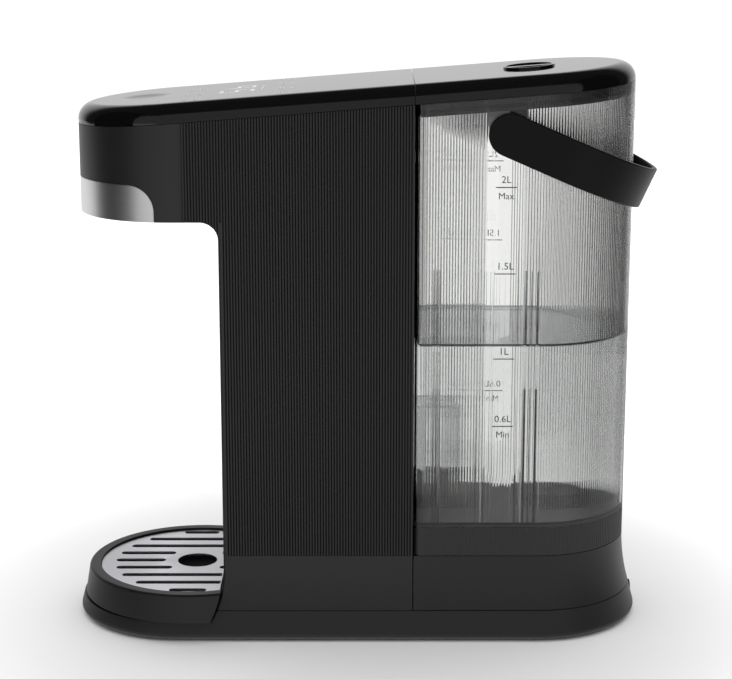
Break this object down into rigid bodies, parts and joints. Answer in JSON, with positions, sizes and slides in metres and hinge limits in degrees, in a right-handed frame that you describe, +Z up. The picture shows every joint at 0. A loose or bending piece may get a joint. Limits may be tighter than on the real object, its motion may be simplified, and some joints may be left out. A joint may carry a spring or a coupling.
{
  "type": "instant hot water dispenser",
  "caption": "Slim countertop hot water dispenser with a ribbed column, an overhanging spout head, a drip tray below it, and a clear lift-off rear tank with lid and bail handle.",
  "frame": {"origin": "on the floor, under the middle of the overall length and width", "axes": "+X from the spout to the tank, +Z up, +Y away from the side that the picture shows"},
  "size_m": [0.328, 0.1282, 0.3174],
  "materials": {
    "body_plastic": "fine satin moulding",
    "gloss_panel": "high gloss",
    "trim_steel": "brushed",
    "tray_steel": "fine brushed",
    "clear_plastic": "clear moulded plastic",
    "cage_plastic": "pale frosted plastic",
    "dark_plastic": "moulded",
    "white_plastic": "moulded",
    "pale_plastic": "heat-proof moulded",
    "silicone": "soft silicone",
    "rubber": "matte rubber",
    "steel": "plain",
    "motor_steel": "drawn can",
    "board": "solder-resist laminate",
    "fin_aluminium": "extruded",
    "magnet": "plated"
  },
  "bodies": {
    "housing": {"base_ring": "body_plastic", "cord_gland": "rubber", "feet": "rubber", "base_screws": "steel", "column_shell": "body_plastic", "spout_trim": "trim_steel", "column_rear_wall": "body_plastic", "wall_screws": "steel", "top_panel": "gloss_panel", "control_board": "board", "display_module": "dark_plastic", "touch_springs": "steel", "head_underside": "body_plastic", "nozzle": "dark_plastic", "nozzle_seal": "silicone", "steam_chamber": "pale_plastic", "tank_cradle": "body_plastic", "inlet_socket": "dark_plastic", "inlet_seal": "silicone", "inlet_pin": "dark_plastic", "level_sensor": "dark_plastic", "pump_body": "dark_plastic", "pump_motor": "motor_steel", "pump_mounts": "rubber", "flow_meter": "pale_plastic", "inner_frame": "dark_plastic", "heater_tube": "steel", "heater_caps": "pale_plastic", "heater_clamps": "steel", "thermostats": "dark_plastic", "temp_sensors": "steel", "power_board": "board", "power_parts": "dark_plastic", "heat_sink": "fin_aluminium", "inlet_hose": "silicone", "pump_hose": "silicone", "meter_hose": "silicone", "outlet_hose": "silicone", "hose_clips": "steel"},
    "tank": {"tank_body": "clear_plastic", "tank_base_ring": "body_plastic", "valve_body": "dark_plastic", "valve_nut": "dark_plastic", "valve_spring": "steel", "tank_strainer": "dark_plastic", "float_cage": "cage_plastic"},
    "valve": {"valve_poppet": "white_plastic", "valve_seal": "silicone"},
    "float": {"float": "white_plastic", "float_magnet": "magnet"},
    "lid": {"tank_lid": "gloss_panel", "lid_knob": "gloss_panel", "lid_skirt": "dark_plastic", "lid_seal": "silicone"},
    "handle": {"tank_handle": "body_plastic"},
    "tray": {"drip_tray": "body_plastic"},
    "grille": {"drip_grille": "tray_steel"},
    "pump_rotor": {"pump_impeller": "white_plastic"},
    "meter_turbine": {"flow_turbine": "white_plastic"}
  },
  "joints": [
    {"name": "tank_lift", "type": "slide", "parent": "housing", "child": "tank", "axis": [0, 0, 1], "range_m": [0, 0.12]},
    {"name": "lid_lift", "type": "slide", "parent": "tank", "child": "lid", "axis": [0, 0, 1], "range_m": [0, 0.085]},
    {"name": "handle_swing", "type": "hinge", "parent": "tank", "child": "handle", "pos_m": [0.0789, 0, 0.2828], "axis": [0, -1, 0], "range_deg": [0, 145]},
    {"name": "valve_stroke", "type": "slide", "parent": "tank", "child": "valve", "axis": [0, 0, 1], "range_m": [-0.0035, 0], "deforming": ["valve_spring"]},
    {"name": "float_rise", "type": "slide", "parent": "tank", "child": "float", "axis": [0, 0, 1], "range_m": [0, 0.028]},
    {"name": "tray_slide", "type": "slide", "parent": "housing", "child": "tray", "axis": [-1, 0, 0], "range_m": [0, 0.09]},
    {"name": "grille_lift", "type": "slide", "parent": "tray", "child": "grille", "axis": [0, 0, 1], "range_m": [0, 0.03]},
    {"name": "pump_spin", "type": "hinge", "parent": "housing", "child": "pump_rotor", "pos_m": [0.069, 0, 0.025], "axis": [1, 0, 0], "continuous": true},
    {"name": "turbine_spin", "type": "hinge", "parent": "housing", "child": "meter_turbine", "pos_m": [0, -0.035, 0.025], "axis": [1, 0, 0], "continuous": true}
  ],
  "couplings": [
    {"joint": "valve_stroke", "follows": "tank_lift", "ratio": -0.029167}
  ]
}
